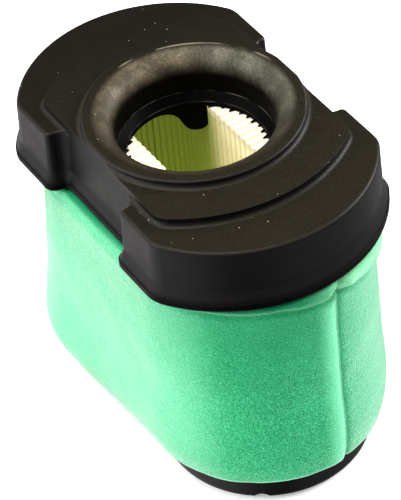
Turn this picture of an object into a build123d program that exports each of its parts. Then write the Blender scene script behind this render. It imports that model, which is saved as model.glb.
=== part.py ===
from build123d import *
from math import cos, pi, radians, sin, sqrt
import os

# Oval air filter cartridge: two moulded urethane end caps, a pleated paper pack and a foam sleeve.
# Millimetres. +X along the long axis, +Z up out of the round outlet, origin at the middle of the base.

os.makedirs("parts", exist_ok=True)

# ---- overall ------------------------------------------------------------------------------------
height = 128.5  # base to the top of the ring boss

# ---- top end cap --------------------------------------------------------------------------------
ring_step = 2.8  # ring boss above the middle terrace
terrace_step = 3.2  # middle terrace above the outer one
outer_top_z = height - ring_step - terrace_step
terrace_z = height - ring_step
cap_bottom_z = 98.3
side_y = 45.7  # half width over the lobes
end_r = 52.1  # large arc at each end
end_x = 21.3  # centre of that arc
lobe_corner_r = 10.0
waist_y = 39.0  # half width at the waist
waist_x = 24.5  # half length of the waist recess
waist_inner_r = 4.5
waist_outer_r = 2.0
terrace_r = 58.2  # end arc of the middle terrace
terrace_x = 3.9  # centre of that arc, past the middle on the other side
terrace_corner_r = 8.0
ring_r = 39.5
top_edge_r = 1.2  # rounding of the lobes' upper edges
ring_edge_r = 0.8  # rounding of the ring boss
foot_r = 1.8  # hollow fillet at the foot of each step
skirt_draft = 0.6  # outward lean of the side wall over its height
flange_flare = 2.1  # flange edge beyond the side wall
flange_bead = 3.2  # height of the rounded bead at the flange edge
flange_edge_r = 1.2
flange_line = 0.3  # fine step over the bead
flare_height = 4.2  # height over which the wall flares into the bead

# ---- outlet -------------------------------------------------------------------------------------
bore_r = 28.0
lip_w = 9.5  # width and depth of the rounded lip that leads into the bore
lip_h = 9.0
bore_bottom_z = 113.8
ledge_r = 25.2  # hole in the ledge under the bore
ledge_z = 110.8
tooth_w = 1.5  # teeth of urethane that ran from the ledge into the gaps between the pleats
tooth_reach = 1.5
tooth_t = 0.9
tooth_limit = 19.5  # furthest tooth from the middle
media_top_z = 108.8

# ---- pleated pack -------------------------------------------------------------------------------
pack_x = 33.2  # centre of the round ends
pack_outer_r = 36.0
pack_inner_r = 15.0
pack_shift = 1.2  # the hollow inside the pack sits this far towards +Y
paper_t = 0.5
paper_gap = 0.1  # between the outer folds and the caps around them
fold_r = 0.5  # rounding of the inner folds
bank_wall = 0.41  # where a pleat's wall meets its inner fold, as a share of the pitch
end_wall = 0.34
outer_wall = 0.37  # where the wall meets the outer fold
bank_pleats = 20  # pleats in each straight bank
end_pleats = 22  # pleats round each end
media_bottom_z = 8.0
pleat_seal_t = 1.0  # glue plugs that close the tops of the outer pleat gaps
pleat_seal_drop = 0.2  # top of those plugs below the ledge's underside

# ---- seal tab under the ledge -------------------------------------------------------------------
tab_angle = 150.0  # direction of the tab from the outlet's axis
tab_w = 5.0  # from its lowest point to its upright edge
tab_t = 2.0
tab_drop = 10.8
tab_tip_r = 6.4
tab_flare = 17.0  # how far the wide fillet on its far-from-the-paper side runs
tab_clear = 0.3  # gap to the inner folds of the paper

# ---- bottom end cap -----------------------------------------------------------------------------
base_x = 33.2
base_r = 38.0
base_h = 16.0
base_edge_r = 3.0
base_top_r = 1.0
island_h = 2.0  # raised floor inside the paper
island_gap = 0.4
notch_r = 3.0  # half-round notch in the lower edge, towards the near side of the front
notch_angle = -36.0
notch_depth = 5.0

# ---- foam sleeve --------------------------------------------------------------------------------
foam_bottom_z = 10.5
foam_gap = 0.3  # running gap to the base and to the flange
foam_outer_r = 45.0
foam_outer_x = 30.3
foam_edge_r = 3.0
collar_h = 9.0  # rolled collar under the flange
collar_out = 1.0
collar_r = 2.0
seam_angle = 8.5  # direction of the glued seam from the centre of the front round end
seam_t = 0.8


def stadium(half_length_x, radius):
    """Racetrack outline: two half circles of one radius, their centres half_length_x from the middle."""
    SlotCenterToCenter(2 * half_length_x, 2 * radius)


def lobed_outline(grow):
    """Plan of the cap's side wall: wide lobes with a recessed waist on each long side."""
    corner_x = end_x + sqrt((end_r + grow) ** 2 - (side_y + grow) ** 2)
    with BuildSketch() as outline:
        Rectangle(2 * corner_x, 2 * (side_y + grow))
        with Locations((end_x, 0), (-end_x, 0)):
            Circle(end_r + grow)
        Rectangle(4 * side_y, 2 * (side_y + grow), mode=Mode.INTERSECT)
        fillet(outline.vertices(), lobe_corner_r + grow)
        with Locations((0, waist_y + grow + side_y), (0, -waist_y - grow - side_y)):
            Rectangle(2 * (waist_x - grow), 2 * side_y, mode=Mode.SUBTRACT)
        inner = outline.vertices().filter_by(lambda v: abs(abs(v.Y) - waist_y - grow) < 0.01)
        fillet(inner, waist_inner_r - grow)
        outer = outline.vertices().filter_by(
            lambda v: abs(abs(v.X) - waist_x + grow) < 0.01 and abs(v.Y) > side_y + grow - 0.01
        )
        fillet(outer, waist_outer_r + grow)
    return outline.sketch


def terrace_outline():
    """Plan of the middle terrace: straight sides in line with the waist and a large arc at each end."""
    with BuildSketch() as outline:
        Rectangle(4 * terrace_r, 2 * waist_y)
        with Locations((-terrace_x, 0)):
            Circle(terrace_r, mode=Mode.INTERSECT)
        with Locations((terrace_x, 0)):
            Circle(terrace_r, mode=Mode.INTERSECT)
        fillet(outline.vertices(), terrace_corner_r)
    return outline.sketch


def pleat(wall, inner):
    """One pleat as (share of the pitch, radius): half an inner fold, the outer fold, half an inner fold."""
    outer = pack_outer_r - paper_t / 2 - paper_gap
    rising = ((wall - 0.14, inner), (wall, inner + fold_r), (outer_wall, outer))
    return rising + tuple((1 - share, radius) for share, radius in reversed(rising))


def pleat_line():
    """Middle line of the folded paper, once round the pack: far bank, back end, near bank, front end."""
    pitch = 2 * pack_x / bank_pleats
    turn = pi / end_pleats
    line = []
    for side in (1, -1):
        for n in range(bank_pleats):
            for share, radius in pleat(bank_wall, pack_inner_r + side * pack_shift + paper_t / 2):
                line.append((side * (pack_x - (n + share) * pitch), side * radius))
        for n in range(end_pleats):
            middle = side * pi / 2 + (n + 0.5) * turn
            for share, radius in pleat(end_wall, pack_inner_r + pack_shift * sin(middle) + paper_t / 2):
                angle = side * pi / 2 + (n + share) * turn
                line.append((radius * cos(angle) - side * pack_x, radius * sin(angle)))
    return line


def shifted(points, distance):
    """The closed line moved sideways by a distance, corner by corner."""
    count = len(points)
    moved = []
    for n, (x, y) in enumerate(points):
        here = Vector(x, y)
        before = (here - Vector(*points[n - 1])).normalized()
        after = (Vector(*points[(n + 1) % count]) - here).normalized()
        bisector = (before + after).normalized()
        reach = distance / bisector.dot(after)
        moved.append((x + bisector.Y * reach, y - bisector.X * reach))
    return moved


# ---- top end cap --------------------------------------------------------------------------------
wall_z = cap_bottom_z + flange_bead + flare_height

with BuildPart() as crown_limit:
    with BuildSketch(Plane.XY.offset(outer_top_z)):
        add(lobed_outline(0))
    extrude(amount=terrace_step + ring_step)
    with BuildSketch(Plane.XY.offset(outer_top_z - top_edge_r)):
        Rectangle(2 * (waist_x - waist_inner_r), 2 * waist_y)
    extrude(amount=top_edge_r)

with BuildPart() as crown:
    with BuildSketch(Plane.XY.offset(outer_top_z - top_edge_r)):
        Rectangle(4 * terrace_r, 3 * side_y)
    extrude(amount=top_edge_r)
    with BuildSketch(Plane.XY.offset(outer_top_z)):
        add(terrace_outline())
    extrude(amount=terrace_step)
    with BuildSketch(Plane.XY.offset(terrace_z)):
        Circle(ring_r)
        Rectangle(4 * ring_r, 2 * waist_y, mode=Mode.INTERSECT)
    extrude(amount=ring_step)
    level_edges = crown.edges().filter_by(GeomType.CIRCLE).group_by(Axis.Z)
    fillet(level_edges[0], foot_r)
    ring_foot = crown.edges().filter_by(GeomType.CIRCLE).filter_by_position(Axis.Z, terrace_z, terrace_z)
    fillet(ring_foot.filter_by(lambda e: abs(e.radius - ring_r) < 0.01), foot_r)
    fillet(crown.edges().filter_by(Plane.XY).group_by(Axis.Z)[-1], ring_edge_r)
    add(crown_limit.part, mode=Mode.INTERSECT)

with BuildPart() as top_cap:
    with BuildSketch(Plane.XY.offset(cap_bottom_z)):
        add(lobed_outline(skirt_draft + flange_flare))
    extrude(amount=flange_bead)
    fillet(top_cap.faces().sort_by(Axis.Z)[0].outer_wire().edges(), flange_edge_r)
    with BuildSketch(Plane.XY.offset(cap_bottom_z + flange_bead)):
        add(lobed_outline(skirt_draft + flange_flare - flange_line))
    with BuildSketch(Plane.XY.offset(wall_z)):
        add(lobed_outline(skirt_draft))
    loft()
    with BuildSketch(Plane.XY.offset(wall_z)):
        add(lobed_outline(skirt_draft))
    with BuildSketch(Plane.XY.offset(outer_top_z)):
        add(lobed_outline(0))
    loft()
    fillet(top_cap.faces().sort_by(Axis.Z)[-1].outer_wire().edges(), top_edge_r)
    add(crown.part)
    with BuildSketch(Plane.XZ):
        with BuildLine():
            lip = EllipticalCenterArc(
                (bore_r + lip_w, height - lip_h), lip_w, lip_h, start_angle=90, arc_size=90
            )
            Polyline(lip @ 1, (bore_r, bore_bottom_z), (ledge_r, ledge_z), (ledge_r, cap_bottom_z))
            Polyline((ledge_r, cap_bottom_z), (0, cap_bottom_z), (0, height + 1))
            Polyline((0, height + 1), (bore_r + lip_w, height + 1), lip @ 0)
        make_face()
    revolve(axis=Axis.Z, mode=Mode.SUBTRACT)
    with BuildSketch(Plane.XY.offset(cap_bottom_z)):
        stadium(pack_x, pack_outer_r)
    extrude(amount=media_top_z - cap_bottom_z, mode=Mode.SUBTRACT)
    with BuildSketch(Plane.XY.offset(media_top_z)):
        for n in range(bank_pleats):
            x = (n + 0.5) * 2 * pack_x / bank_pleats - pack_x
            if abs(x) < tooth_limit:
                edge_y = sqrt(ledge_r**2 - x**2)
                tip_y = edge_y - tooth_reach * (1 + 0.35 * sin(2.3 * n))
                for side in (1, -1):
                    root = [(x + tooth_w / 2, side * (edge_y + 1)), (x - tooth_w / 2, side * (edge_y + 1))]
                    Polygon(*root, (x, side * tip_y), align=None)
    extrude(amount=tooth_t)

# ---- tab that hangs from the ledge beside the paper's folds --------------------------------------
tab_plane = Plane(
    origin=(0, 0, media_top_z),
    x_dir=(-sin(radians(tab_angle)), cos(radians(tab_angle)), 0),
    z_dir=(cos(radians(tab_angle)), sin(radians(tab_angle)), 0),
)

with BuildPart() as seal_tab:
    with BuildSketch(Plane.XY.offset(media_top_z - tab_drop)):
        Circle(ledge_r + tab_t)
        Circle(ledge_r, mode=Mode.SUBTRACT)
        with Locations((-ledge_r, 0)):
            Rectangle(2 * ledge_r, 2 * (pack_inner_r + pack_shift - tab_clear), mode=Mode.INTERSECT)
    extrude(amount=tab_drop)
    with BuildSketch(tab_plane):
        with BuildLine():
            edge = Polyline((tab_flare, 0), (-tab_w, 0), (-tab_w, tab_tip_r - tab_drop))
            tip = EllipticalCenterArc(
                (0, tab_tip_r - tab_drop), tab_w, tab_tip_r, start_angle=180, arc_size=90
            )
            Spline(tip @ 1, (0.37 * tab_flare, -0.4 * tab_drop), edge @ 0, tangents=((1, 0), (1, 0)))
        make_face()
    extrude(amount=2 * ledge_r, mode=Mode.INTERSECT)

# ---- bottom end cap -----------------------------------------------------------------------------
with BuildPart() as bottom_cap:
    with BuildSketch():
        stadium(base_x, base_r)
    extrude(amount=base_h)
    fillet(bottom_cap.faces().sort_by(Axis.Z)[0].outer_wire().edges(), base_edge_r)
    fillet(bottom_cap.faces().sort_by(Axis.Z)[-1].outer_wire().edges(), base_top_r)
    with BuildSketch(Plane.XY.offset(media_bottom_z)):
        stadium(pack_x, pack_outer_r)
    extrude(amount=base_h, mode=Mode.SUBTRACT)
    with BuildSketch(Plane.XY.offset(media_bottom_z)):
        stadium(pack_x, pack_inner_r - pack_shift - island_gap)
    extrude(amount=island_h)
    notch_plane = Plane(
        origin=(base_x + base_r * cos(radians(notch_angle)), base_r * sin(radians(notch_angle)), 0),
        z_dir=(cos(radians(notch_angle)), sin(radians(notch_angle)), 0),
    )
    with BuildSketch(notch_plane):
        Circle(notch_r)
    extrude(amount=notch_depth, both=True, mode=Mode.SUBTRACT)

# ---- pleated paper: two straight banks and two fanned ends of one folded strip -------------------
paper_line = pleat_line()
paper_quarters = {
    "paper_bank_near": Location((0, -pack_outer_r)),
    "paper_bank_far": Location((0, pack_outer_r)),
    "paper_end_front": Location((2 * pack_x, 0)),
    "paper_end_back": Location((-2 * pack_x, 0)),
}
paper_pieces = []
for quarter_name, quarter_place in paper_quarters.items():
    with BuildPart() as paper:
        with BuildSketch(Plane.XY.offset(media_bottom_z)):
            Polygon(*shifted(paper_line, paper_t / 2), align=None)
            Polygon(*shifted(paper_line, -paper_t / 2), align=None, mode=Mode.SUBTRACT)
            with Locations(quarter_place):
                Rectangle(2 * pack_x, 2 * pack_outer_r, mode=Mode.INTERSECT)
        extrude(amount=media_top_z - media_bottom_z)
    paper.part.label = quarter_name
    paper_pieces.append(paper.part)

# ---- glue plugs that close the tops of the outer pleat gaps --------------------------------------
with BuildPart() as pleat_seal:
    with BuildSketch(Plane.XY.offset(media_top_z - pleat_seal_drop - pleat_seal_t)):
        stadium(pack_x, pack_outer_r - 2 * paper_gap)
        Polygon(*shifted(paper_line, paper_t / 2), align=None, mode=Mode.SUBTRACT)
    extrude(amount=pleat_seal_t)

# ---- foam sleeve, with its two ends bonded along one upright seam --------------------------------
foam_top_z = cap_bottom_z - foam_gap
seam_plane = Plane(
    origin=(foam_outer_x, 0, foam_bottom_z),
    x_dir=(cos(radians(seam_angle)), sin(radians(seam_angle)), 0),
    z_dir=(0, 0, 1),
)

with BuildPart() as seam_slice:
    with BuildSketch(seam_plane):
        with Locations((foam_outer_r, 0)):
            Rectangle(foam_outer_r, seam_t)
    extrude(amount=foam_top_z)

with BuildPart() as foam_ring:
    with BuildSketch(Plane.XY.offset(foam_bottom_z)):
        stadium(foam_outer_x, foam_outer_r)
    extrude(amount=foam_top_z - foam_bottom_z)
    fillet(foam_ring.faces().sort_by(Axis.Z)[0].outer_wire().edges(), foam_edge_r)
    with BuildSketch(Plane.XY.offset(foam_top_z - collar_h)):
        stadium(foam_outer_x, foam_outer_r + collar_out)
    extrude(amount=collar_h)
    fillet(foam_ring.faces().sort_by(Axis.Z)[-1].outer_wire().edges(), collar_r)
    with BuildSketch(Plane.XY.offset(foam_bottom_z)):
        stadium(base_x, base_r + foam_gap)
    extrude(amount=foam_top_z, mode=Mode.SUBTRACT)

with BuildPart() as foam_sleeve:
    add(foam_ring.part)
    add(seam_slice.part, mode=Mode.SUBTRACT)

with BuildPart() as foam_seam:
    add(foam_ring.part)
    add(seam_slice.part, mode=Mode.INTERSECT)

# ---- write every piece --------------------------------------------------------------------------
top_cap.part.label = "top_cap"
pleat_seal.part.label = "pleat_seal"
seal_tab.part.label = "seal_tab"
bottom_cap.part.label = "bottom_cap"
foam_sleeve.part.label = "foam_sleeve"
foam_seam.part.label = "foam_seam"

pieces = [top_cap.part, pleat_seal.part, seal_tab.part, bottom_cap.part, foam_sleeve.part, foam_seam.part]
for piece in pieces + paper_pieces:
    export_step(piece, f"parts/{piece.label}.step")
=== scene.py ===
from math import cos, exp, pi, radians, sin

import bpy
from mathutils import Matrix, Vector, noise


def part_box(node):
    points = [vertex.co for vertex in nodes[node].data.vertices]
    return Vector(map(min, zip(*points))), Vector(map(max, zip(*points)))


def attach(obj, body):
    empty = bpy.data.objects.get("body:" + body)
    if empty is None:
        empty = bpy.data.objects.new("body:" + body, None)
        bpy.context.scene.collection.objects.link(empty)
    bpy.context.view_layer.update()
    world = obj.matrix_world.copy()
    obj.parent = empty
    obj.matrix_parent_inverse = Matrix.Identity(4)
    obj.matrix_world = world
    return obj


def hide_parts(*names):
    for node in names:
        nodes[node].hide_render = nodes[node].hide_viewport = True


# Oval air filter cartridge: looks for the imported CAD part. Metres, +Z up, base on the floor.
# Lengths named below are in millimetres unless they end in _m.

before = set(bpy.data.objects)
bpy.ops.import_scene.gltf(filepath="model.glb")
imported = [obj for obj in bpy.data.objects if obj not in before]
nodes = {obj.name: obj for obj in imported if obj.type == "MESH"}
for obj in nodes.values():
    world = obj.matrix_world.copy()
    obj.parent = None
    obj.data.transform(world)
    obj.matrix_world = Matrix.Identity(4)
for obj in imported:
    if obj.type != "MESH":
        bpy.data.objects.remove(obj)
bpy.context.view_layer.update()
scene = bpy.context.scene

MM = 0.001


# ---- camera -------------------------------------------------------------------------------------
LOOK_AT_M = (-0.0006, -0.0026, 0.0632)
AZIMUTH = 61.85  # from -Y towards +X
ELEVATION = 41.70
ROLL = 5.80
DISTANCE_M = 1.032
LENS = 205.7


def make_camera():
    data = bpy.data.cameras.new("camera")
    data.lens = LENS
    data.sensor_width = 36.0
    data.clip_start = 0.05
    data.clip_end = 20.0
    camera = bpy.data.objects.new("camera", data)
    scene.collection.objects.link(camera)
    azimuth, elevation = radians(AZIMUTH), radians(ELEVATION)
    away = Vector((sin(azimuth) * cos(elevation), -cos(azimuth) * cos(elevation), sin(elevation)))
    camera.location = Vector(LOOK_AT_M) + away * DISTANCE_M
    upright = away.to_track_quat("Z", "Y").to_matrix()
    camera.rotation_euler = (upright @ Matrix.Rotation(radians(-ROLL), 3, "Z")).to_euler()
    scene.camera = camera


# ---- a short way to write node materials ---------------------------------------------------------
class Look:
    """One procedural material. Texture coordinates are millimetres in the part's own frame."""

    def __init__(self, name, **shader_values):
        self.material = bpy.data.materials.new(name)
        self.material.use_nodes = True
        self.tree = self.material.node_tree
        self.shader = self.tree.nodes["Principled BSDF"]
        for socket, value in shader_values.items():
            self.shader.inputs[socket.replace("_", " ")].default_value = value
        coordinates = self.tree.nodes.new("ShaderNodeTexCoord")
        self.place = self.node("ShaderNodeVectorMath", "SCALE", coordinates.outputs["Object"], Scale=1 / MM)
        split = self.node("ShaderNodeSeparateXYZ", None, self.place)
        self.x, self.y, self.z = split.node.outputs

    def feed(self, socket, value):
        if isinstance(value, bpy.types.NodeSocket):
            self.tree.links.new(value, socket)
        elif value is not None:
            socket.default_value = value

    def node(self, kind, operation, *inputs, output=0, **named):
        new = self.tree.nodes.new(kind)
        if operation:
            new.operation = operation
        for socket, value in zip(new.inputs, inputs):
            self.feed(socket, value)
        for name, value in named.items():
            self.feed(new.inputs[name], value)
        return new.outputs[output]

    def math(self, operation, *inputs):
        return self.node("ShaderNodeMath", operation, *inputs)

    def product(self, first, *others):
        for value in others:
            first = self.math("MULTIPLY", first, value)
        return first

    def clamp(self, value, low, high):
        """0 at low, 1 at high, smooth between them. high may be the smaller one."""
        new = self.tree.nodes.new("ShaderNodeMapRange")
        new.interpolation_type = "SMOOTHSTEP"
        for socket, number in zip(new.inputs, (value, low, high, 0.0, 1.0)):
            self.feed(socket, number)
        return new.outputs[0]

    def band(self, value, middle, half_width):
        """1 at middle, 0 from half_width away."""
        away = self.math("ABSOLUTE", self.math("SUBTRACT", value, middle))
        return self.clamp(away, half_width, 0.0)

    def radius(self):
        """Distance from the outlet's axis."""
        squares = [self.math("POWER", axis, 2.0) for axis in (self.x, self.y)]
        return self.math("SQRT", self.math("ADD", *squares))

    def noise(self, grain, detail=3.0, roughness=0.5, vector=None):
        """Smooth noise, 0 to 1, whose features are about grain millimetres wide."""
        vector = vector or self.place
        return self.node(
            "ShaderNodeTexNoise", None, Vector=vector, Scale=1 / grain, Detail=detail, Roughness=roughness
        )

    def stretched(self, x, y, z):
        return self.node("ShaderNodeVectorMath", "MULTIPLY", self.place, (x, y, z))

    def cells(self, size):
        """Distance from the nearest of many points about size millimetres apart, as a share of size."""
        return self.node("ShaderNodeTexVoronoi", None, Vector=self.place, Scale=1 / size)

    def mix(self, share, first, second):
        new = self.tree.nodes.new("ShaderNodeMix")
        new.data_type = "RGBA"
        self.feed(new.inputs["Factor"], share)
        self.feed(new.inputs["A"], colour(first))
        self.feed(new.inputs["B"], colour(second))
        return new.outputs["Result"]

    def blend(self, share, first, second):
        """Number between first and second."""
        new = self.tree.nodes.new("ShaderNodeMix")
        self.feed(new.inputs["Factor"], share)
        self.feed(new.inputs["A"], first)
        self.feed(new.inputs["B"], second)
        return new.outputs["Result"]

    def bump(self, height, depth, normal=None):
        """Bump of depth millimetres where height goes from 0 to 1."""
        sizes = {"Distance": depth * MM, "Strength": 1.0}
        return self.node("ShaderNodeBump", None, Height=height, Normal=normal, **sizes)

    def finish(self, base, rough, normal):
        self.feed(self.shader.inputs["Base Color"], base)
        self.feed(self.shader.inputs["Roughness"], rough)
        self.feed(self.shader.inputs["Normal"], normal)
        return self.material


def colour(value):
    return (*value, 1.0) if isinstance(value, tuple) else value


# ---- materials ----------------------------------------------------------------------------------
cap_low, cap_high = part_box("top_cap")
foam_low, foam_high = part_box("foam_sleeve")
_, base_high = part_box("bottom_cap")

CAP_TOP = cap_high.z / MM
CAP_FOOT = cap_low.z / MM
MIDDLE_Z = 60.0  # a height between the two caps
EDGE_R = 0.35  # rounding that the cap material gives to sharp edges
TERRACE_DROP = 6.0  # ring boss above the lobes' flat tops
LIP_R = 28.0  # inner edge of the outlet's lip
LIP_W = 9.5
BORE_LOW = 113.8  # lower edge of the bore's wall
LEDGE_TOP = 110.8  # ledge under the bore
PACK_X = 33.2  # centre of the paper pack's round ends
PACK_INNER_R = 15.0
PACK_SHIFT = 1.2  # the hollow inside the pack sits this far towards +Y
CREAM_TO = -8.0  # the paper is cream in front of this x
OLIVE_FROM = -24.0  # and painted olive behind this one, standing in for light through the foam


def rubber():
    """Black moulded urethane: dusty brown where it faces up, painted shade towards the back, in the bore and
    under the flange, a scuffed outlet lip with painted highlights, painted glints, fine mould lines.
    """
    look = Look("urethane_black")
    rounded = look.tree.nodes.new("ShaderNodeBevel")
    rounded.samples = 6
    rounded.inputs["Radius"].default_value = EDGE_R * MM
    facing = look.tree.nodes.new("ShaderNodeNewGeometry")
    up = look.node("ShaderNodeSeparateXYZ", None, facing.outputs["True Normal"], output=2)
    up = look.clamp(up, 0.3, 0.8)
    radius = look.radius()

    cloud = look.noise(22.0, 4.0)
    fine = look.noise(0.35, 2.0, 0.6)
    mottle = look.noise(1.1, 5.0, 0.72)
    black = look.mix(cloud, (0.0019, 0.0017, 0.0018), (0.0034, 0.0031, 0.0031))
    film = look.mix(cloud, (0.0052, 0.0037, 0.0008), (0.0086, 0.0065, 0.0020))
    dust = look.clamp(look.noise(0.9, 3.0, 0.7), 0.3, 0.7)
    film = look.mix(dust, look.mix(0.3, film, black), look.mix(0.05, film, (0.08, 0.07, 0.05)))
    # painted shade: the brown film is made darker towards the back (-X)
    back = look.clamp(look.x, -5.0, -60.0)
    film = look.mix(back, film, look.mix(0.8, film, (0.0026, 0.0019, 0.0010)))
    outside = look.clamp(radius, LIP_R + 0.4, LIP_R + 3.0)
    outside = look.math("MAXIMUM", outside, look.clamp(look.z, MIDDLE_Z, MIDDLE_Z - 10.0))
    base = look.mix(look.product(outside, up), black, film)
    # painted shade: inside the bore the black is painted darker still, and its shine is lowered
    base = look.mix(outside, (0.0010, 0.0009, 0.0008), base)
    # painted shade: the lowest few millimetres of the top cap, under the flange, are painted darker and less
    # shiny
    under = look.clamp(look.z, CAP_FOOT + 5.0, CAP_FOOT + 2.5)
    under = look.product(under, look.clamp(look.z, MIDDLE_Z, MIDDLE_Z + 10.0))
    base = look.mix(look.product(under, 0.85), base, (0.0008, 0.0007, 0.0008))

    lip = look.clamp(radius, LIP_R + 0.90 * LIP_W, LIP_R + 0.60 * LIP_W)
    lip = look.product(lip, look.clamp(look.z, CAP_TOP - 8.0, CAP_TOP - 1.8))
    base = lip_wear_and_highlight(look, base, lip, radius)
    base = dust_crumbs_and_glints(look, base, up, radius)

    lines = look.band(look.z, CAP_TOP - TERRACE_DROP - 4.6, 0.22)
    lines = look.math("ADD", lines, look.band(look.z, CAP_FOOT + 8.6, 0.18))
    lines = look.product(lines, look.clamp(look.noise(30.0, 1.0), 0.35, 0.6))
    rough = look.blend(look.noise(6.0, 4.0, 0.65), 0.36, 0.56)
    rough = look.blend(lip, rough, 0.5)
    rough = look.blend(outside, 0.5, rough)
    shine = look.blend(outside, 0.02, 0.135)
    look.feed(look.shader.inputs["Specular IOR Level"], look.blend(under, shine, 0.03))
    normal = look.bump(fine, 0.014, rounded.outputs["Normal"])
    normal = look.bump(mottle, 0.035, normal)
    normal = look.bump(lines, 0.08, normal)
    return look.finish(base, rough, normal)


def lip_wear_and_highlight(look, base, lip, radius):
    """Grey scuffing of the outlet's lip, part wear and part painted highlight, heavier away from the camera,
    and a painted highlight on its outer edge.
    """
    frontward = look.math("SUBTRACT", look.product(look.x, 0.88), look.product(look.y, 0.47))
    # painted highlight: the scuff grows away from the camera, where the lip faces the camera and the lights
    wear_and_highlight = look.blend(look.clamp(frontward, 26.0, -26.0), 0.12, 1.0)
    patchy = look.blend(look.clamp(look.noise(7.0, 3.0), 0.35, 0.65), 0.45, 1.0)
    speckled = look.blend(look.clamp(look.noise(1.0, 3.0, 0.7), 0.35, 0.65), 0.5, 1.0)
    greyer = look.clamp(look.y, 8.0, 30.0)
    scuffed = look.mix(greyer, (0.134, 0.108, 0.068), (0.112, 0.108, 0.078))
    base = look.mix(look.product(lip, wear_and_highlight, patchy, speckled), base, scuffed)
    # painted highlight along the lip's outer edge, on the side away from the camera
    edge = look.band(radius, LIP_R + 0.90 * LIP_W, 0.6)
    edge = look.product(edge, look.clamp(look.noise(11.0, 2.0), 0.38, 0.62))
    edge = look.product(edge, look.clamp(frontward, -12.0, -30.0))
    edge = look.product(edge, wear_and_highlight, look.clamp(look.z, CAP_TOP - 3.0, CAP_TOP - 1.0))
    return look.mix(edge, base, (0.15, 0.135, 0.095))


def dust_crumbs_and_glints(look, base, up, radius):
    """Pale dust specks on top, crumbs of trimmed flash under the flange, and painted highlight lines (glints)
    on the bore's edges.
    """
    specks = look.clamp(look.cells(5.0), 0.045, 0.025)
    specks = look.product(specks, look.clamp(look.noise(9.0, 0.0), 0.42, 0.46), up)
    base = look.mix(specks, base, (0.34, 0.31, 0.24))
    crumbs = look.clamp(look.noise(1.4, 3.0), 0.52, 0.66)
    crumbs = look.product(look.band(look.z, CAP_FOOT, 1.0), crumbs)
    base = look.mix(crumbs, base, (0.045, 0.030, 0.016))
    # painted highlight: thin glint lines round the bore's lower edge and the ledge
    glint = look.math("ADD", look.band(look.z, BORE_LOW, 0.3), look.band(look.z, LEDGE_TOP, 0.3))
    glint = look.product(glint, look.clamp(radius, LIP_R + 1.0, LIP_R + 0.2))
    glint = look.product(glint, look.clamp(look.noise(8.0, 3.0), 0.42, 0.7))
    return look.mix(glint, base, (0.07, 0.065, 0.055))


def paper():
    """Cream filter paper, painted olive towards the back of the hollow and made to glow, standing in for
    light that soaks through the foam.
    """
    look = Look("filter_paper", Specular_IOR_Level=0.3, Emission_Strength=1.0)
    fibres = look.noise(0.5, 4.0, 0.6, look.stretched(1.0, 1.0, 0.25))
    cloud = look.noise(9.0, 2.0)
    cream = look.mix(cloud, (0.83, 0.74, 0.47), (0.9, 0.84, 0.62))
    cream = look.mix(look.clamp(fibres, 0.3, 0.75), look.mix(0.12, cream, (0.5, 0.4, 0.2)), cream)
    olive = look.mix(look.clamp(look.z, 20.0, 100.0), (0.20, 0.26, 0.035), (0.16, 0.19, 0.03))
    olive = look.mix(look.product(fibres, 0.35), olive, (0.3, 0.4, 0.09))

    past_end = look.math("MAXIMUM", look.math("SUBTRACT", look.math("ABSOLUTE", look.x), PACK_X), 0.0)
    squares = [look.math("POWER", part, 2.0) for part in (past_end, look.y)]
    away = look.math("SQRT", look.math("ADD", *squares))
    shift = look.product(look.math("DIVIDE", look.y, away), PACK_SHIFT)
    depth = look.math("SUBTRACT", look.math("SUBTRACT", away, shift), PACK_INNER_R)
    hollow = look.clamp(depth, 14.0, 3.0)
    # painted light: the paper facing the hollow is painted olive towards the back, for light coming through
    # the foam
    foam_light_share = look.product(hollow, look.clamp(look.x, CREAM_TO, OLIVE_FROM))
    foam_light_share = look.product(foam_light_share, look.clamp(look.z, 107.6, 105.0))
    # painted light: the faces towards the hollow glow, olive at the back and cream at the front, with painted
    # shade (less glow) deeper in the pleat grooves
    glow = look.mix(look.clamp(look.z, 30.0, 104.0), (0.100, 0.135, 0.011), (0.076, 0.094, 0.012))
    glow = look.mix(look.clamp(look.x, OLIVE_FROM + 4.0, 24.0), glow, (0.40, 0.36, 0.21))
    groove_shade = look.blend(look.clamp(look.x, OLIVE_FROM, CREAM_TO), 0.8, 0.1)
    face = look.blend(look.clamp(depth, 0.4, 0.0), groove_shade, 1.0)
    face = look.product(face, hollow, look.clamp(look.z, 108.0, 104.0))
    look.feed(look.shader.inputs["Emission Color"], look.mix(face, (0.0, 0.0, 0.0), glow))
    base = look.mix(foam_light_share, cream, olive)
    return look.finish(base, look.blend(fibres, 0.75, 0.95), look.bump(fibres, 0.03))


def pleat_glue():
    """Off-white hot-melt plugs in the pleat tops."""
    look = Look("pleat_glue", Specular_IOR_Level=0.4)
    lumps = look.noise(1.6, 3.0)
    base = look.mix(lumps, (0.86, 0.8, 0.62), (0.95, 0.92, 0.8))
    return look.finish(base, look.blend(lumps, 0.35, 0.6), look.bump(lumps, 0.12))


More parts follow.
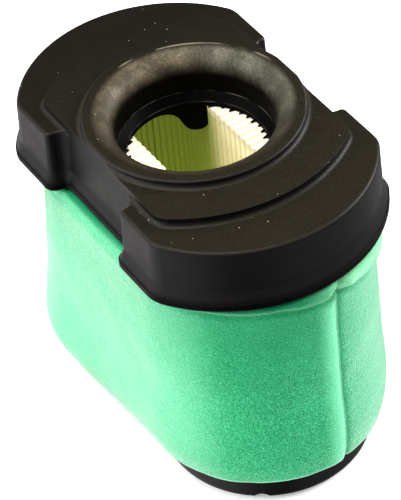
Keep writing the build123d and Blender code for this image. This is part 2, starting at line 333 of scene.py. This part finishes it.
def foam_look():
    """Mint green reticulated foam: fine pores, soft clouds, a velvety sheen, painted light on the sides,
    collar and lower edge, painted shade near the top, in folds and in the seam.
    """
    look = Look("foam_mint", Specular_IOR_Level=0.15, Sheen_Roughness=0.26)
    look.shader.inputs["Sheen Tint"].default_value = (0.90, 1.0, 0.93, 1.0)
    pores = look.cells(0.8)
    grain = look.noise(0.45, 3.0, 0.7)
    nap = look.noise(1.3, 3.0, 0.6)
    cloud = look.noise(26.0, 3.0, 0.55)
    base = look.mix(look.clamp(cloud, 0.25, 0.75), (0.010, 0.33, 0.130), (0.028, 0.43, 0.190))
    base = look.mix(look.clamp(nap, 0.35, 0.75), base, look.mix(0.3, base, (0.12, 0.68, 0.36)))
    fold = look.tree.nodes.new("ShaderNodeAttribute")
    fold.attribute_name = "fold"
    fold = fold.outputs["Fac"]
    # painted shade in the fold under the collar and the pinch at the top of the seam
    base = look.mix(look.product(fold, 0.85), base, (0.003, 0.12, 0.05))

    near_side = look.clamp(look.y, -30.0, -44.0)
    not_far_wall = look.clamp(look.y, 46.0, 34.0)
    right = look.product(look.clamp(look.y, 0.0, 20.0), not_far_wall)
    painted_light_side = look.math("MAXIMUM", right, look.product(near_side, 0.8))
    # painted light: the near side (-Y) and the part right of the seam (+Y) are painted paler
    base = look.mix(look.product(painted_light_side, 0.56), base, (0.20, 0.50, 0.34))
    faint = look.blend(near_side, look.blend(painted_light_side, 0.9, 0.5), 0.2)
    dark_grain = look.product(look.clamp(grain, 0.56, 0.40), faint)
    base = look.mix(dark_grain, base, (0.004, 0.15, 0.050))
    base = look.mix(look.clamp(grain, 0.55, 0.72), base, look.mix(0.45, base, (0.30, 0.90, 0.58)))
    # painted shade: the upper foam is painted darker, as under the cap's overhang, less so on the paler sides
    overhang_shade = look.product(look.clamp(look.z, 45.0, 88.0), look.blend(painted_light_side, 0.6, 0.15))
    base = look.mix(overhang_shade, base, (0.006, 0.20, 0.075))

    base, cap_shade = foam_under_cap(look, base, not_far_wall)
    base, crease = foam_seam_shade_and_highlight(look, base)
    # painted highlight: a pale sheen line along the foam's lower edge
    rim_highlight = look.product(look.clamp(look.z, FOAM_LOW + 3.6, FOAM_LOW + 0.8), 0.6)
    base = look.mix(rim_highlight, base, (0.36, 0.84, 0.60))
    facing = look.tree.nodes.new("ShaderNodeNewGeometry")
    up = look.node("ShaderNodeSeparateXYZ", None, facing.outputs["Normal"], output=2)
    high = look.clamp(look.z, FOAM_TOP - 18.0, FOAM_TOP - 14.0)
    shaded = look.product(look.clamp(up, 0.0, -0.35), high)
    for mark in (look.product(crease, 0.8), cap_shade, fold):
        shaded = look.math("MAXIMUM", shaded, mark)
    look.feed(look.shader.inputs["Sheen Weight"], look.blend(shaded, 1.0, 0.4))
    normal = look.bump(pores, 0.2)
    normal = look.bump(grain, 0.2, normal)
    return look.finish(base, look.blend(grain, 0.8, 1.0), normal)


def foam_under_cap(look, base, not_far_wall):
    """Painted shade where the foam goes under the cap and by the cap's waist, and painted light on the collar
    towards +Y. Returns the painted shade too.
    """
    sideways = look.math("ABSOLUTE", look.y)
    shade = look.clamp(look.z, FOAM_TOP - 3.5, FOAM_TOP - 1.5)
    shade = look.product(look.clamp(sideways, 43.6, 41.2), shade)
    base = look.mix(look.product(shade, 0.7), base, (0.003, 0.14, 0.06))
    # painted light: the collar towards +Y is painted paler, lifting the cap's shadow there
    collar = look.product(look.clamp(look.y, -8.0, 16.0), not_far_wall)
    collar = look.product(look.clamp(look.z, FOAM_TOP - 8.0, FOAM_TOP - 2.0), collar)
    base = look.mix(look.product(collar, 0.4), base, (0.36, 0.92, 0.50))
    # painted shadow on the foam beside the cap's waist
    waist_edge_shadow = look.clamp(look.z, FOAM_TOP - 5.0, FOAM_TOP - 2.0)
    waist_edge_shadow = look.product(look.clamp(sideways, 43.6, 42.2), waist_edge_shadow)
    waist_edge_shadow = look.product(waist_edge_shadow, look.clamp(look.math("ABSOLUTE", look.x), 33.0, 25.0))
    base = look.mix(look.product(waist_edge_shadow, look.clamp(look.x, 45.0, -25.0)), base, (0.001, 0.15, 0.060))
    return base, look.math("MAXIMUM", shade, waist_edge_shadow)


def foam_seam_shade_and_highlight(look, base):
    """Painted shade in the glued seam's crease and a painted highlight on the ridge beside it. Returns the
    crease too.
    """
    angle = look.math("ARCTAN2", look.y, look.math("SUBTRACT", look.x, FOAM_X))
    around = look.product(look.math("SUBTRACT", angle, radians(SEAM_ANGLE)), FOAM_R)
    below_collar = look.clamp(look.z, FOAM_TOP - 6.0, FOAM_TOP - 12.0)
    # painted shade along the seam's crease
    crease = look.product(look.band(around, 1.4, 1.7), look.blend(below_collar, 0.2, 0.8))
    base = look.mix(crease, base, (0.004, 0.15, 0.06))
    # painted highlight on the ridge beside the seam
    ridge = look.product(look.clamp(around, -9.0, -0.5), look.clamp(around, 0.6, -0.3))
    ridge = look.product(ridge, look.blend(below_collar, 0.0, 0.5))
    return look.mix(ridge, base, (0.24, 0.84, 0.50)), crease


def seam_look():
    """Film of contact glue in the foam's seam."""
    look = Look("foam_seam_glue", Specular_IOR_Level=0.4)
    lumps = look.noise(0.9, 3.0, 0.6, look.stretched(1.0, 1.0, 0.4))
    base = look.mix(lumps, (0.03, 0.30, 0.13), (0.10, 0.55, 0.28))
    return look.finish(base, look.blend(lumps, 0.45, 0.8), look.bump(lumps, 0.15))


def paint(name, material):
    """Gives a CAD node its material on the object's own slots."""
    node = nodes[name]
    if not node.material_slots:
        node.data.materials.append(material)
    for place in node.material_slots:
        place.link = "OBJECT"
        place.material = material


# ---- foam sleeve --------------------------------------------------------------------------------
COLLAR_OUT = 1.0  # collar beyond the sleeve's wall, in the CAD solid
GAP = 0.3  # between the foam and the base cap
SEAM_ANGLE = 8.5  # direction of the seam from the centre of the front round end
FOAM_R = foam_high.y / MM - COLLAR_OUT
FOAM_X = (foam_high.x - foam_high.y) / MM
INNER_R = base_high.y / MM + GAP
INNER_X = (base_high.x - base_high.y) / MM
FOAM_LOW = foam_low.z / MM
FOAM_TOP = foam_high.z / MM
GIRTH = 4 * FOAM_X + 2 * pi * FOAM_R
BOTTOM_ROUND = 2.4  # rounding of the foam's lower outer edge
TOP_ROUND = 1.9
INNER_ROUND = 0.7


def racetrack(s):
    """Outer point, inner point and outward direction at the distance s round the sleeve from the seam."""
    start = FOAM_R * radians(SEAM_ANGLE)
    arc = pi * FOAM_R
    s = (s + start + arc / 2) % GIRTH
    if s < arc:
        side, angle = 1, s / FOAM_R - pi / 2
    elif s < arc + 2 * FOAM_X:
        along = 1 - (s - arc) / FOAM_X
        return Vector((along * FOAM_X, FOAM_R)), Vector((along * INNER_X, INNER_R)), Vector((0, 1))
    elif s < 2 * arc + 2 * FOAM_X:
        side, angle = -1, (s - arc - 2 * FOAM_X) / FOAM_R + pi / 2
    else:
        along = (s - 2 * arc - 2 * FOAM_X) / FOAM_X - 1
        return Vector((along * FOAM_X, -FOAM_R)), Vector((along * INNER_X, -INNER_R)), Vector((0, -1))
    out = Vector((cos(angle), sin(angle)))
    return Vector((side * FOAM_X, 0)) + out * FOAM_R, Vector((side * INNER_X, 0)) + out * INNER_R, out


def smooth(value, low, high):
    t = min(max((value - low) / (high - low), 0.0), 1.0)
    return t * t * (3 - 2 * t)


def hump(value, middle, width):
    return exp(-(((value - middle) / width) ** 2))


def wave(s, z, size, seed):
    """Smooth noise from -1 to 1 on the sleeve, in step where the ends meet."""
    turn = 2 * pi * s / GIRTH
    across = GIRTH / (2 * pi) / size
    return noise.noise(Vector((across * cos(turn) + seed, across * sin(turn) - seed, z / size)))


def seam_distance(s):
    """Signed distance from the seam along the girth, positive towards +Y."""
    return (s + GIRTH / 2) % GIRTH - GIRTH / 2


def beyond_waist(outer):
    """0 beside the cap's waist, 1 beside its lobes."""
    return smooth(abs(outer.x), 18.0, 30.0)


def collar_line(s):
    """Height of the crease under the collar."""
    q = seam_distance(s)
    below = 3.4 + 2.6 * smooth(q, -26.0, -2.0) + 4.2 * smooth(q, 0.0, 30.0) - 4.0 * smooth(q, 60.0, 110.0)
    ragged = 0.9 * wave(s, 0.0, 24.0, 3.1) + 0.5 * wave(s, 0.0, 8.0, 6.6)
    return FOAM_TOP - below - ragged + 1.6 * hump(q, 0.0, 3.5)


def swell(s, z):
    """How far the foam's outer face stands out from its even wall."""
    q = seam_distance(s)
    outer, inner, _ = racetrack(s)
    thick = (outer - inner).length
    waist = 1 - beyond_waist(outer)
    low = 1 - smooth(z, FOAM_LOW, FOAM_LOW + 13.0)
    tuck = 0.5 * (thick - BOTTOM_ROUND) * low**1.5
    belly = 0.9 * hump(z, FOAM_LOW + 17.0, 15.0) - 0.7 * hump(z, FOAM_TOP - 17.0, 13.0)
    crease = collar_line(s)
    proud = 1.0 + 0.3 * wave(s, 0.0, 18.0, 8.3)
    proud += 1.0 * smooth(q, -24.0, 14.0) - 0.5 * smooth(q, 60.0, 100.0)
    sharp = 0.75 + 0.35 * wave(s, 0.0, 7.0, 4.4) + 0.5 * smooth(q, 1.0, 8.0)
    roll = proud * smooth(z, crease - 0.7, crease + 2.6) - 0.7 * sharp * hump(z, crease - 0.9, 1.2)
    roll = roll * (1 - 0.85 * waist) - 2.4 * waist * smooth(z, FOAM_TOP - 7.0, FOAM_TOP) ** 1.5
    soft = 0.42 * wave(s, z, 34.0, 0.0) + 0.2 * wave(s, z, 11.0, 5.0) + 0.07 * wave(s, z, 3.5, 9.0)
    ragged = 1.0 + 0.4 * wave(0.0, z, 9.0, 2.7)
    ridge = 0.34 * smooth(q, -10.0, -2.0) * (1 - smooth(q, -2.0, 2.6))
    flatter = 0.35 * smooth(q, 0.0, 2.0) * (1 - smooth(q, 5.0, 16.0))
    seam = ridge - 0.5 * ragged * hump(q, 1.6, 1.5) - flatter
    pinch = -1.1 * hump(q, 0.5, 2.6) * smooth(z, crease - 1.5, crease + 1.5)
    pinch += 0.8 * hump(q, 6.0, 3.5) * smooth(z, crease + 0.5, crease + 3.5)
    spread = 2.9 * hump(q, -146.0, 36.0) * (1 - smooth(z, FOAM_LOW + 4.0, FOAM_LOW + 34.0))
    slim = 2.2 * hump(q, -166.0, 24.0) * smooth(z, FOAM_LOW + 30.0, FOAM_TOP - 12.0)
    return belly + roll + soft + seam + pinch - tuck + spread - slim


def steps(low, high, size):
    count = max(1, round((high - low) / size))
    return [low + (high - low) * n / count for n in range(count)]


def foam_columns():
    """Distances from the seam at which the sleeve's mesh has a column, closer together beside the seam."""
    near, wide = 5.0, 15.0
    columns = steps(-near, near, 0.22) + steps(near, wide, 0.5) + steps(wide, GIRTH - wide, 1.05)
    return columns + steps(GIRTH - wide, GIRTH - near, 0.5)


def foam_rows():
    """Side, offset and height of each row: up the outer face from the lower edge, then down the inner one."""
    turn = [radians(15.0 * n) for n in range(7)]
    wall_low, wall_high = FOAM_LOW + BOTTOM_ROUND, FOAM_TOP - TOP_ROUND
    fine_from = FOAM_TOP - 15.0
    wall = steps(wall_low, fine_from, 1.0)[1:] + steps(fine_from, wall_high, 0.4)
    inner_wall = steps(FOAM_LOW + INNER_ROUND, FOAM_TOP - INNER_ROUND, 2.0)[1:]

    def rounding(side, r, edge, inward, angles):
        into = -1 if side == "outer" else 1
        return [(side, into * r * (1 - cos(a)), edge + inward * r * (1 - sin(a))) for a in angles]

    rows = rounding("outer", BOTTOM_ROUND, FOAM_LOW, 1, reversed(turn))
    rows += [("outer", 0.0, z) for z in wall]
    rows += rounding("outer", TOP_ROUND, FOAM_TOP, -1, turn)
    rows += rounding("inner", INNER_ROUND, FOAM_TOP, -1, reversed(turn))
    rows += [("inner", 0.0, z) for z in reversed(inner_wall)]
    return rows + rounding("inner", INNER_ROUND, FOAM_LOW, 1, turn)


def fold_shade_share(s, z):
    """How far a point lies in the fold under the collar or in the pinch at the top of the seam: its share of
    painted shade.
    """
    q = seam_distance(s)
    right = smooth(q, -2.0, 6.0)
    depth = right * (1 - smooth(q, 60.0, 90.0)) + 0.35 * (1 - right)
    shadow = depth * beyond_waist(racetrack(s)[0]) * hump(z, collar_line(s) - 1.0, 1.5)
    shadow += 0.9 * hump(q, 0.6, 1.8) * hump(z, collar_line(s) + 0.5, 2.2)
    return min(shadow, 1.0)


def soft_piece(name, points, faces, material):
    mesh = bpy.data.meshes.new(name)
    mesh.from_pydata(points, [], faces)
    mesh.polygons.foreach_set("use_smooth", [True] * len(faces))
    mesh.materials.append(material)
    piece = bpy.data.objects.new(name, mesh)
    scene.collection.objects.link(piece)
    return piece


def make_foam():
    columns, rows = foam_columns(), foam_rows()
    points, fold = [], []
    for s in columns:
        outer, inner, out = racetrack(s)
        lift = 0.35 * wave(s, 0.0, 14.0, 2.0) + 0.15 * wave(s, 0.0, 4.0, 6.0)
        lift += 1.3 * hump(seam_distance(s), 1.0, 1.0)
        for side, offset, z in rows:
            if side == "outer":
                spot = outer + out * (offset + swell(s, z))
            else:
                spot = inner + out * (offset + 0.12 + 0.1 * wave(s, z, 9.0, 7.0))
            up = (lift + 0.35) * (1 - smooth(z, FOAM_LOW, FOAM_LOW + 7.0))
            dip = 0.25 * (1 + wave(s, 0.0, 9.0, 4.0)) * smooth(z, FOAM_TOP - 4.0, FOAM_TOP)
            points.append((spot.x * MM, spot.y * MM, (z + up - dip) * MM))
            fold.append(fold_shade_share(s, z) if side == "outer" else 0.0)
    height = len(rows)
    faces = []
    for i in range(len(columns)):
        here, there = i * height, (i + 1) % len(columns) * height
        for j in range(height):
            above = (j + 1) % height
            faces.append((here + j, there + j, there + above, here + above))
    foam = soft_piece("foam_precleaner", points, faces, foam_look())
    foam.data.attributes.new("fold", "FLOAT", "POINT").data.foreach_set("value", fold)
    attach(foam, "sleeve")
    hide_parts("foam_sleeve")


def make_seam():
    """Thin bead of glue at the bottom of the seam's crease, from the lower edge to the collar."""
    half_width, proud, sides = 0.45, 0.28, 6
    ring = [(cos(2 * pi * n / sides), sin(2 * pi * n / sides)) for n in range(sides)]
    heights = steps(FOAM_LOW + 5.0, FOAM_TOP - 3.0, 0.7)
    points = []
    for z in heights:
        s = 1.1 + 0.15 * wave(0.0, z, 6.0, 1.0)
        outer, _, out = racetrack(s)
        across = Vector((-out.y, out.x))
        width = half_width * (0.8 + 0.5 * wave(0.0, z, 4.0, 2.0))
        for side, face in ring:
            spot = outer + across * side * width + out * (swell(s, z) + face * proud - 0.1)
            points.append((spot.x * MM, spot.y * MM, z * MM))
    faces = [tuple(reversed(range(sides)))]
    last = (len(heights) - 1) * sides
    for low in range(0, last, sides):
        for j in range(sides):
            k = (j + 1) % sides
            faces.append((low + j, low + k, low + sides + k, low + sides + j))
    faces.append(tuple(range(last, last + sides)))
    seam = soft_piece("foam_seam_glue", points, faces, seam_look())
    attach(seam, "sleeve")
    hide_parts("foam_seam")


# ---- studio -------------------------------------------------------------------------------------
def make_floor():
    half_m = 3.0
    look = Look("floor_pale", Specular_IOR_Level=0.1, Emission_Strength=0.30)
    look.shader.inputs["Emission Color"].default_value = (1.0, 1.0, 1.0, 1.0)
    grain = look.noise(40.0, 2.0)
    material = look.finish(look.mix(grain, (0.74, 0.74, 0.74), (0.77, 0.77, 0.77)), 0.9, None)
    mesh = bpy.data.meshes.new("floor")
    corners = [(-half_m, -half_m, 0), (half_m, -half_m, 0), (half_m, half_m, 0), (-half_m, half_m, 0)]
    mesh.from_pydata(corners, [], [(0, 1, 2, 3)])
    mesh.materials.append(material)
    floor = bpy.data.objects.new("floor", mesh)
    floor.visible_glossy = False
    scene.collection.objects.link(floor)


def soft_light(name, place_m, size_m, power, tint=(1.0, 1.0, 1.0)):
    """Square softbox that looks at the middle of the part."""
    data = bpy.data.lights.new(name, "AREA")
    data.size = size_m
    data.energy = power
    data.color = tint
    light = bpy.data.objects.new(name, data)
    scene.collection.objects.link(light)
    light.location = place_m
    towards = Vector(place_m) - Vector(LOOK_AT_M)
    light.rotation_euler = towards.to_track_quat("Z", "Y").to_euler()


ROOM_LEFT = (-0.47, -0.88, 0.0)  # level direction to the left of the camera
ROOM_STOPS = ((0.0, 0.35), (0.28, 0.66), (0.44, 0.01), (0.54, 0.01), (0.76, 1.4), (1.0, 1.4))
ROOM_POWER = 1.1


def make_studio():
    """Two bright sides of a room with a dark wall behind the camera, and three softboxes."""
    world = bpy.data.worlds.new("studio")
    world.use_nodes = True
    tree = world.node_tree
    direction = tree.nodes.new("ShaderNodeTexCoord").outputs["Generated"]
    leftward = tree.nodes.new("ShaderNodeVectorMath")
    leftward.operation = "DOT_PRODUCT"
    leftward.inputs[1].default_value = ROOM_LEFT
    share = tree.nodes.new("ShaderNodeMath")
    share.operation = "MULTIPLY_ADD"
    share.inputs[1].default_value = 0.5
    share.inputs[2].default_value = 0.5
    ramp = tree.nodes.new("ShaderNodeValToRGB")
    ramp.color_ramp.interpolation = "EASE"
    for n, (place, bright) in enumerate(ROOM_STOPS):
        stop = ramp.color_ramp.elements[n] if n < 2 else ramp.color_ramp.elements.new(place)
        stop.position = place
        stop.color = (bright, 0.97 * bright, 0.95 * bright, 1.0)
    tree.links.new(direction, leftward.inputs[0])
    tree.links.new(leftward.outputs["Value"], share.inputs[0])
    tree.links.new(share.outputs[0], ramp.inputs[0])
    tree.links.new(ramp.outputs["Color"], tree.nodes["Background"].inputs["Color"])
    tree.nodes["Background"].inputs["Strength"].default_value = ROOM_POWER
    scene.world = world
    soft_light("key_top", (-0.1, -0.3, 1.5), 1.0, 26.0, (1.0, 0.98, 0.95))
    soft_light("side_left", (-0.5, -1.5, 0.75), 0.9, 21.5)
    soft_light("side_right", (0.3, 1.5, 0.8), 0.8, 50.0)
    scene.view_settings.view_transform = "Standard"


make_camera()
make_floor()
make_studio()
make_foam()
make_seam()

urethane = rubber()
for name in ("top_cap", "bottom_cap", "seal_tab"):
    paint(name, urethane)
cream = paper()
for name in ("paper_bank_near", "paper_bank_far", "paper_end_front", "paper_end_back"):
    paint(name, cream)
paint("pleat_seal", pleat_glue())
